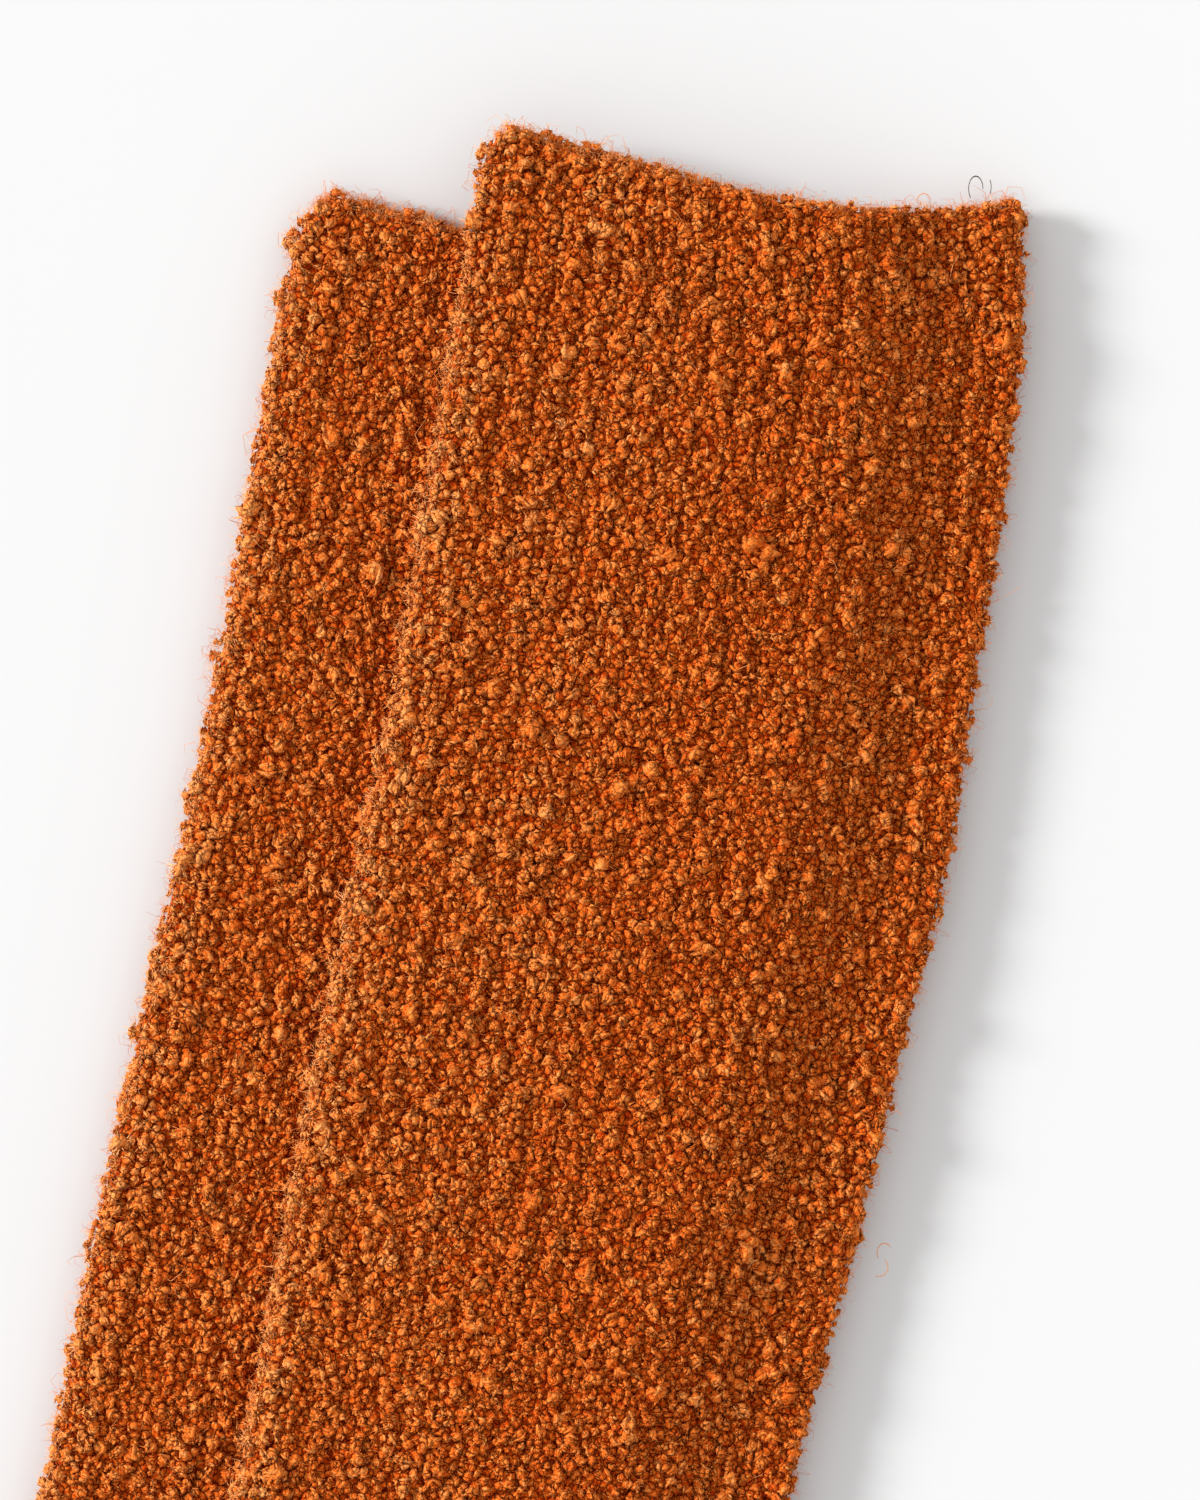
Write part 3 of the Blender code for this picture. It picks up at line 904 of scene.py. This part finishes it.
# %% [markdown]
# Now each row is laid down the sock. Curls that the over sock covers are left out, and in the folds a few
# curls stand on top of others, so the outline is as uneven as the real one.

# %% Spots for the curls
CURL_SIZE, SIZE_SPREAD, SIZE_PATCHES = 0.98, 0.17, 0.14
# A curl's lift above the cloth and its spread, and how much paler higher curls are painted, as painted light
# where they catch more light.
LIFT, LIFT_SPREAD, LIFT_PAINTED_LIGHT = 0.37, 0.12, 0.35
PUFF_SHARE, PUFF_SIZE, PUFF_FROM = 0.11, 1.45, 1.24
# No curls lie under the sock: this share of the path is left bare at either end.
BARE = 0.05
# The picture shows what lies above this Y, with a few millimetres to spare.
PICTURE_FOOT = -22 * MM
# How far out of the cloth a place is looked up from, to see whether it is covered.
LOOK_FROM = 0.3
FOLD_WAVES, WAVE_SIZE = 0.25, 1.6
# A second curl may stand where the cloth faces this far sideways, and no further down than this. Its reach
# varies, and little of it goes up or down.
PROUD, PROUD_SIDEWAYS, PROUD_DOWN = 0.04, 0.4, -0.4
REACH_SHARE, REACH_UP = (0.6, 1.0), 0.3
# Places on the folds where the photo shows a lump of curls standing out, in pixels of the photo.
LUMPS = {"over": ((480, 190),), "under": ((290, 235), (283, 300), (215, 650))}
LUMP_WIDTH, LUMP_REACH, LUMP_LOWEST = 2.0, 0.9, 1.6


def seen(sock, point, normal):
    """Whether a place can be seen from above, which the over sock may prevent."""
    if sock == "over":
        return True
    return TREES["over"].ray_cast(Vector(point + normal * LOOK_FROM * MM), Vector((0, 0, 1)))[0] is None


def in_lump(points, sock):
    places = np.array(LUMPS[sock]) / PIXELS_A_MM * [1, -1] + PHOTO_CORNER
    return np.linalg.norm(points[:, None, :2] / MM - places[None], axis=2).min(axis=1) < LUMP_WIDTH


def heaped(spots, sock):
    """The spots, and a second curl on top of some in the folds, so that these stand proud."""
    sideways = 1 - np.abs(spots.normals[:, 2])
    lump = in_lump(spots.points, sock) & (sideways > PROUD_SIDEWAYS)
    proud = (rng.random(len(sideways)) < PROUD * sideways) | lump
    second = picked(spots, proud & (spots.normals[:, 2] > PROUD_DOWN))
    reach = rng.uniform(*REACH_SHARE, len(second.size))[:, None] * LUMP_REACH * MM
    points = second.points + second.normals * [1, 1, REACH_UP] * reach
    points[:, 2] = np.maximum(points[:, 2], LUMP_LOWEST * MM)
    return joined([spots, second._replace(points=points)])


def spots_on(sock):
    rows = []
    along, odd = FIRST_ROW, 0
    while along < LAST_ROW:
        shares = row_shares(along, odd)
        shares = shares[(shares > BARE) & (shares < 1 - BARE)]
        where = along + rng.normal(0, STRAY_ROW)
        p, n, d, kept = on_solid(sock, where, shares)
        slide = rng.normal(0, STRAY_ALONG * grow(along), len(p))
        if len(p):
            p = p + d * slide[:, None] * MM
            shown = np.array([seen(sock, place, normal) for place, normal in zip(p, n)])
            share = shares[kept][shown]
            rows.append((p[shown], n[shown], d[shown],
                         np.full(len(share), CURL_SIZE * grow(along) ** FOOT_SIZE_POWER),
                         groove_at(share, along), glow_at(share)))
        along += ROW_GAP * grow(along)
        odd += 1
    points, normals, downs, sizes, grooves, glow = map(np.concatenate, zip(*rows))
    varied = (1 + SIZE_PATCHES * patches(points, 1.0)) * rng.lognormal(0, SIZE_SPREAD, len(sizes))
    sizes = sizes * varied * (1 - GROOVE_SIZE * grooves) * MM
    lift = rng.normal(LIFT, LIFT_SPREAD, len(points))
    # Painted light and shade: higher curls, the bands where light catches the cloth and the folds are painted
    # lighter, grooves darker.
    shade = shades_for(len(points), points) + LIFT_PAINTED_LIGHT * (lift - LIFT) - GROOVE_PAINTED_SHADE * grooves + glow
    shade = shade + FOLD_GLOW * (1 - normals[:, 2])
    puff = (rng.random(len(points)) < PUFF_SHARE) & (points[:, 1] > PICTURE_FOOT)
    sizes = sizes * np.where(puff, PUFF_SIZE, 1)
    sideways = 1 - np.abs(normals[:, 2])
    points = points + normals * (FOLD_WAVES * sideways * patches(points, WAVE_SIZE) * MM)[:, None]
    return heaped(Spots(points, normals, downs, sizes, shade, lift - GROOVE_SINK * grooves), sock)


# %% Curls on the cloth
CURL_LEAN = 0.30

CURL_SPOTS = {}
for sock in ("over", "under"):
    CURL_SPOTS[sock] = spots = spots_on(sock)
    on_leg = spots.points[:, 1] > PICTURE_FOOT
    large = spots.size > PUFF_FROM * MM
    for name, chosen, shapes in (("puff", on_leg & large, PUFFS), ("leg", on_leg & ~large, FINE_CURLS),
                                 ("foot", ~on_leg, PLAIN_CURLS)):
        print(sock, name, chosen.sum(), "curls")
        lay_curls(f"{sock}_{name}_curls", sock, shapes, picked(spots, chosen), CURL_LEAN)

# %% [markdown]
# The mouth of a sock is the end of the cloth, and the curls run over it too: one row on the upper layer's
# edge, one on the lower's, and round both folds. Near the front corner the lower layer stands a little proud.

# %% Curls on the rim
RIM_GAP = 1.15
PEEK, PEEK_WIDTH = 1.8, 0.45
WALL_MIDDLE = 1.3
# How far outside the mouth a curl's place is looked for, and how far inside the cloth's height is read.
RIM_OUT, RIM_INSIDE = 0.6, 3.0
# Rim curls: their size and its spread, how much paler they are painted, as painted light passing through the
# fuzzy rim, and their lean.
RIM_SIZE, RIM_SIZE_SPREAD, RIM_PAINTED_LIGHT, RIM_LEAN = 0.95, 0.2, 0.1, 0.35
RIM_LIFT, RIM_LIFT_SPREAD = 0.25, 0.2
RIM_STRAY, RIM_TURN = 0.25, 0.1


def rim_section(width):
    """Places (across, up) along the edges of both layers, and whether each is on the lower one."""
    path, gone = path_across(width)
    at = np.arange(0, gone[-1], RIM_GAP)
    upper = np.stack([np.interp(at, gone, path[:, axis]) for axis in (0, 1)], axis=1)
    upper[:, 1] -= WALL_MIDDLE * np.sign(upper[:, 1] - CLOTH_HEIGHT / 2)
    upper[:, 0] = np.clip(upper[:, 0], WALL_MIDDLE, width - WALL_MIDDLE)
    lower = np.arange(FOLD_REACH, width - FOLD_REACH, RIM_GAP)
    return [(*place, False) for place in upper] + [(across, WALL_MIDDLE, True) for across in lower]


def rim_spots(sock):
    front, edge, width, down = section_at(0.0)
    points, normals = [], []
    for across, up, is_lower in rim_section(width):
        share = np.clip(across / width, 0, 1)
        dip = RIM_DIP * np.sin(np.pi * share ** DIP_LEAN)
        peek = PEEK * np.sin(np.pi * min(share / PEEK_WIDTH, 1)) if is_lower else 0.0
        inside = front + edge * np.clip(share, 0.05, 0.95) + down * (dip + RIM_INSIDE)
        spot = placed(front + edge * share + down * (dip - peek - RIM_OUT), sock)
        height = looked_down_on(sock, placed(inside, sock)) - (CLOTH_HEIGHT - up) * MM
        found = TREES[sock].find_nearest(Vector((*(spot * MM), height)))
        if seen(sock, found[0], found[1]):
            points.append(found[0])
            normals.append(found[1])
    points, normals = corner_worn(np.array(points), sock), np.array(normals)
    points = points + rng.normal(0, RIM_STRAY, points.shape) * MM
    sizes = rng.lognormal(0, RIM_SIZE_SPREAD, len(points)) * RIM_SIZE * MM
    downs = np.tile([*down, 0.0], (len(points), 1)) + rng.normal(0, RIM_TURN, points.shape)
    lifts = rng.normal(RIM_LIFT, RIM_LIFT_SPREAD, len(points))
    # Rim curls are painted paler, as painted light passing through the fuzzy rim.
    return Spots(points, normals, downs, sizes, shades_for(len(points), points) + RIM_PAINTED_LIGHT, lifts)


RIM_SPOTS = {}
for sock in ("over", "under"):
    RIM_SPOTS[sock] = rim_spots(sock)
    print(sock, "rim", len(RIM_SPOTS[sock].points), "curls")
    lay_curls(f"{sock}_rim_curls", sock, FINE_CURLS, RIM_SPOTS[sock], RIM_LEAN)

# %% [markdown]
# Wool sheds: fine fibres stand out of the yarn all over. Close to the yarn they are a short down that blurs
# each curl. Tufts of hair-thin spikes, each a long cone with three sides, stand for it: one tuft to a curl,
# of two spikes on top and three on the folds. On the folds and the rim, where the light comes from the side,
# more tufts make a haze. Hairs are painted paler than yarn, as painted light for the light that comes
# through them, so they have their own ramp of shades.

# %% Tufts of down
HAIR_SHADES = (
    (0.00, (0.450, 0.055, 0.005)),
    (0.60, (0.750, 0.175, 0.021)),
    (1.00, (0.950, 0.450, 0.170)),
)
# All loose hairs are painted a little paler, as light comes through them.
HAIR_PAINTED_LIGHT = 0.05
SPIKES, THIN_SPIKES = 3, 2
SPIKE_THICKNESS = 0.045
SPIKE_LENGTH = (0.55, 1.10)
SPIKE_TILT, SPIKE_SWAY = (20, 100), 0.6
SPIKE_ROOT = 0.5
TUFT_SHAPES = 12


def hair_wool():
    material, shader = wool_base("loose_fibre")
    shader.inputs["Specular IOR Level"].default_value = 0.0
    shade = math_node(material, "ADD", attribute(material, "shade"), HAIR_PAINTED_LIGHT)
    link(material, shade_ramp(material, shade, HAIR_SHADES), shader.inputs["Base Color"])
    return material


def tuft_shape(spikes, seed):
    draw = np.random.default_rng(seed)
    parts = []
    for k in range(spikes):
        length = draw.uniform(*SPIKE_LENGTH)
        bm = bmesh.new()
        bmesh.ops.create_cone(bm, cap_ends=False, segments=3, radius1=SPIKE_THICKNESS, radius2=0,
                              depth=length)
        bmesh.ops.remove_doubles(bm, verts=bm.verts, dist=MERGE)
        spike, faces = triangles_of(bm)
        around = np.arctan2(spike[:, 1], spike[:, 0]) / (2 * np.pi)
        corners = np.stack([unrolled(around, faces), (spike[:, 2] / length)[faces]], axis=2)
        tilt, turn = math.radians(draw.uniform(*SPIKE_TILT)), draw.uniform(0, 2 * math.pi)
        aim = Matrix.Rotation(turn, 3, "Z") @ Matrix.Rotation(tilt, 3, "Y")
        root = np.array(aim @ Vector((0, 0, SPIKE_ROOT))) * [1, 1, KNOB_HEIGHT]
        sway = Matrix.Rotation(draw.normal(0, SPIKE_SWAY), 3, "X") @ aim
        points = (spike + [0, 0, length / 2]) @ np.array(sway).T + root
        parts.append((points, faces, on_bake_map(corners, QUARTER, quarter(k))))
    points, faces, bake_map = one_mesh(parts)
    return KnobShape(points, faces, np.zeros(len(points)), bake_map, bake_map)


HAIR_WOOL = hair_wool()
TUFTS = [tuft_shape(SPIKES, k) for k in range(TUFT_SHAPES)]
THIN_TUFTS = [tuft_shape(THIN_SPIKES, 20 + k) for k in range(TUFT_SHAPES)]
print("faces a tuft:", len(TUFTS[0].faces), len(THIN_TUFTS[0].faces))

# %% Down on the curls
# A curl is on a fold where its way out points up less than this.
FOLD_FROM = 0.80
DOWN_LEAN, HAZE_LEAN = 0.3, 0.5
FOLD_HAZE, RIM_HAZE = {"over": 3, "under": 4}, 6
# Haze is painted paler where light from the side and the white table show through it: hardly on the over
# sock's front fold, which lies against wool, more on the others, which stand against white.
FOLD_HAZE_PAINTED_LIGHT, RIM_HAZE_PAINTED_LIGHT = {"over": 0.02, "under": 0.20}, 0.20
HAZE_SIZE, HAZE_SPREAD = 1.15, 0.30


def haze_over(spots, times, paler):
    """More tufts over the same spots, a little larger, painted paler where light catches them, and spread
    about.
    """
    more = joined([spots] * times)
    around = rng.normal(0, HAZE_SPREAD, more.points.shape) * MM
    return more._replace(size=more.size * HAZE_SIZE, shade=more.shade + paler, points=more.points + around)


for sock in ("over", "under"):
    spots = CURL_SPOTS[sock]
    on_leg = spots.points[:, 1] > PICTURE_FOOT
    on_fold = on_leg & (spots.normals[:, 2] < FOLD_FROM)
    for name, chosen, shapes in (("top", on_leg & ~on_fold, THIN_TUFTS), ("fold", on_fold, TUFTS)):
        lay_curls(f"{sock}_{name}_down", sock, shapes, picked(spots, chosen), DOWN_LEAN, HAIR_WOOL)
    haze = joined([haze_over(picked(spots, on_fold), FOLD_HAZE[sock], FOLD_HAZE_PAINTED_LIGHT[sock]),
                   haze_over(RIM_SPOTS[sock], RIM_HAZE, RIM_HAZE_PAINTED_LIGHT)])
    lay_curls(f"{sock}_haze", sock, TUFTS, haze, HAZE_LEAN, HAIR_WOOL)

# %% [markdown]
# Longer fibres show round the edges, where the light catches them. Each is a hair-thin arc with three sides
# that rises out of the cloth and bends over. The script lays them with the same helper as the curls, densest
# on the folds and the rim.

# %% Loose fibres
FibreKind = namedtuple("FibreKind", "reach sweep")
FIBRE_KINDS = tuple(FibreKind(reach, sweep) for reach in (0.5, 0.8, 1.2) for sweep in (60, 100, 150, 210))
LONG_KINDS = tuple(FibreKind(reach, sweep) for reach in (1.8, 2.6) for sweep in (70, 110))
LARGE_SWEEP, LARGE_REACH = 160, 1.5
FIBRE_THICKNESS, FIBRE_TAPER, FIBRE_TWIST = 0.034, 0.6, 0.5
# A fibre has its square on the bake map to itself: its size and its margin there.
WHOLE_SQUARE = (0.9, 0.05)


def fibre_shape(kind, seed):
    draw = np.random.default_rng(seed)
    sweep = math.radians(kind.sweep)
    steps = 2 if kind.sweep < LARGE_SWEEP and kind.reach < LARGE_REACH else 3
    arc = spun_arc(kind.reach, FIBRE_THICKNESS, 3, sweep, steps, capped=False)
    along = arc.angle / sweep
    thick = 1 - FIBRE_TAPER * along
    radius = kind.reach + arc.out * thick
    twist = draw.uniform(-FIBRE_TWIST, FIBRE_TWIST) * kind.reach * along ** 2
    posed = np.stack([kind.reach - radius * np.cos(arc.angle), arc.points[:, 2] * thick + twist,
                      radius * np.sin(arc.angle)], axis=1)
    corners = yarn_corners(arc.around, along, arc.faces)
    return KnobShape(posed, arc.faces, np.zeros(len(posed)), corners, on_bake_map(corners, *WHOLE_SQUARE))


FIBRES = [fibre_shape(kind, k) for k, kind in enumerate(FIBRE_KINDS)]
LONG_HAIRS = [fibre_shape(kind, 40 + k) for k, kind in enumerate(LONG_KINDS)]
print("kinds of fibre:", len(FIBRES), "short,", len(LONG_HAIRS), "long")

# %% Fibres on the socks
EDGE_FIBRES, TOP_FIBRES, RIM_FIBRES, LONG_FIBRES = 2300, 200, 1300, 50
# The under sock shows less of itself, so it has fewer.
FIBRE_COUNT = {"over": 1.0, "under": 0.6}
# How likely a curl is to grow a fibre: on the foot, beside one in the picture, and on top, beside a fold.
FOOT_CHANCE, TOP_CHANCE, LONG_TOP_CHANCE = 0.12, 0.001, 0.02
FIBRE_STRAY, FIBRE_SIZE_SPREAD, FIBRE_SHADES, FIBRE_LIFT = 0.5, 0.25, (0.35, 0.9), 0.3
FIBRE_LEAN, LONG_LEAN = 0.45, 0.6


def choose(spots, weight, count):
    """Spots for fibres: some of the curls' spots, picked by weight, and strayed from a little."""
    chosen = rng.choice(len(spots.points), count, p=weight / weight.sum())
    around = rng.normal(0, FIBRE_STRAY, (count, 3)) * MM
    size = rng.lognormal(0, FIBRE_SIZE_SPREAD, count) * MM
    return picked(spots, chosen)._replace(
        points=spots.points[chosen] + around, size=size,
        shade=rng.uniform(*FIBRE_SHADES, count), lift=np.full(count, FIBRE_LIFT))


for sock in ("over", "under"):
    spots, rim, share = CURL_SPOTS[sock], RIM_SPOTS[sock], FIBRE_COUNT[sock]
    sideways = 1 - np.abs(spots.normals[:, 2])
    in_picture = (spots.points[:, 1] > PICTURE_FOOT) + FOOT_CHANCE
    fuzz = joined([choose(spots, (sideways ** 2 + TOP_CHANCE) * in_picture, int(EDGE_FIBRES * share)),
                   choose(spots, in_picture, int(TOP_FIBRES * share)),
                   choose(rim, np.ones(len(rim.points)), int(RIM_FIBRES * share))])
    lay_curls(f"{sock}_fibres", sock, FIBRES, fuzz, FIBRE_LEAN, HAIR_WOOL)
    long_ones = choose(spots, (sideways ** 2 + LONG_TOP_CHANCE) * in_picture, int(LONG_FIBRES * share))
    lay_curls(f"{sock}_long_fibres", sock, LONG_HAIRS, long_ones, LONG_LEAN, HAIR_WOOL)

# %% [markdown]
# The photo shows a few stray hairs one by one: two dark ones that loop out of the mouth near its back corner,
# and pale ones on the cuff and over the shadow. Each is an arc of a circle that starts inside a curl, drawn
# taller than wide where the real one is.

# %% Stray hairs
# Where each hair's circle has its middle, in pixels of the photo, then its radius in millimetres, where on
# the circle it starts and how far it goes, in degrees, and how much taller than wide it is.
StrayHair = namedtuple("StrayHair", "x y radius start sweep tall dark")
STRAY_HAIRS = (
    StrayHair(975, 190, 1.15, 225, -225, 1.75, True),
    StrayHair(984, 188, 1.0, -35, 70, 1.9, True),
    StrayHair(923, 203, 1.1, 165, -150, 1.2, False),
    StrayHair(990, 283, 6.6, 143, 38, 1.0, False),
    StrayHair(878, 1266, 1.5, 250, 160, 1.0, False),
    StrayHair(884, 1252, 1.2, 210, -170, 1.3, False),
)
HAIR_THICKNESS, HAIR_STEPS = 0.07, 10
MOUTH_HEIGHT, HAIR_CLEAR = 3.2, 0.9
DARK_SHADES = ((0.3, (0.012, 0.010, 0.010)), (0.7, (0.050, 0.026, 0.018)))
DARK_COLOUR, DARK_ROUGHNESS, DARK_NOISE = (0.02, 0.015, 0.012), 0.7, 900.0
HAIR_SHADE = 0.8


def dark_wool():
    material, shader = plain_material("dark_fibre", DARK_COLOUR, DARK_ROUGHNESS)
    colour = shade_ramp(material, noise_on(material, object_place(material), DARK_NOISE), DARK_SHADES)
    link(material, colour, shader.inputs["Base Color"])
    return material


def stray_hair(hair, sock):
    """A hair in millimetres in the model's frame, its faces and its places on the map."""
    sweep = math.radians(hair.sweep)
    arc = spun_arc(hair.radius, HAIR_THICKNESS, 3, sweep, HAIR_STEPS)
    corners = np.stack([unrolled(arc.around, arc.faces), (arc.angle / abs(sweep))[arc.faces]], axis=2)
    start = np.array(Matrix.Rotation(math.radians(hair.start), 3, "Z"))
    points = arc.points @ start.T * [1, hair.tall, 1]
    points[:, :2] += np.array([hair.x, -hair.y]) / PIXELS_A_MM + PHOTO_CORNER
    top = looked_down_on(sock, points[:, :2].mean(axis=0))
    points[:, 2] += MOUTH_HEIGHT if top is None else top / MM + HAIR_CLEAR
    return points, arc.faces, corners


def lay_hairs(name, sock, hairs, material):
    parts = []
    for k, hair in enumerate(hairs):
        points, faces, corners = stray_hair(hair, sock)
        bake_map = (on_bake_map(corners, *WHOLE_SQUARE) + [k, 0]) / [len(hairs), 1]
        parts.append((points * MM, faces, bake_map.reshape(-1, 2)))
    points, faces, maps = one_mesh(parts)
    even = np.full(len(points), HAIR_SHADE)
    mesh_piece(name, points, faces, {YARN_MAP: maps, BAKE_MAP: maps}, even, even, material, sock)


lay_hairs("over_dark_hairs", "over", [hair for hair in STRAY_HAIRS if hair.dark], dark_wool())
lay_hairs("over_pale_hairs", "over", [hair for hair in STRAY_HAIRS if not hair.dark], HAIR_WOOL)

# %% [markdown]
# Nothing here was cut from cloth: each sock is knitted as one tube. Laid flat it is a sheet of two layers, as
# wide as the tube is round, and the curls are a pile on it. The under sock lies on the table and the over
# sock on the under one.

for sock, below in (("under", []), ("over", ["under_knit"])):
    print(sock, "sock:", len(pieces_of[sock]), "pieces of pile on the tube")
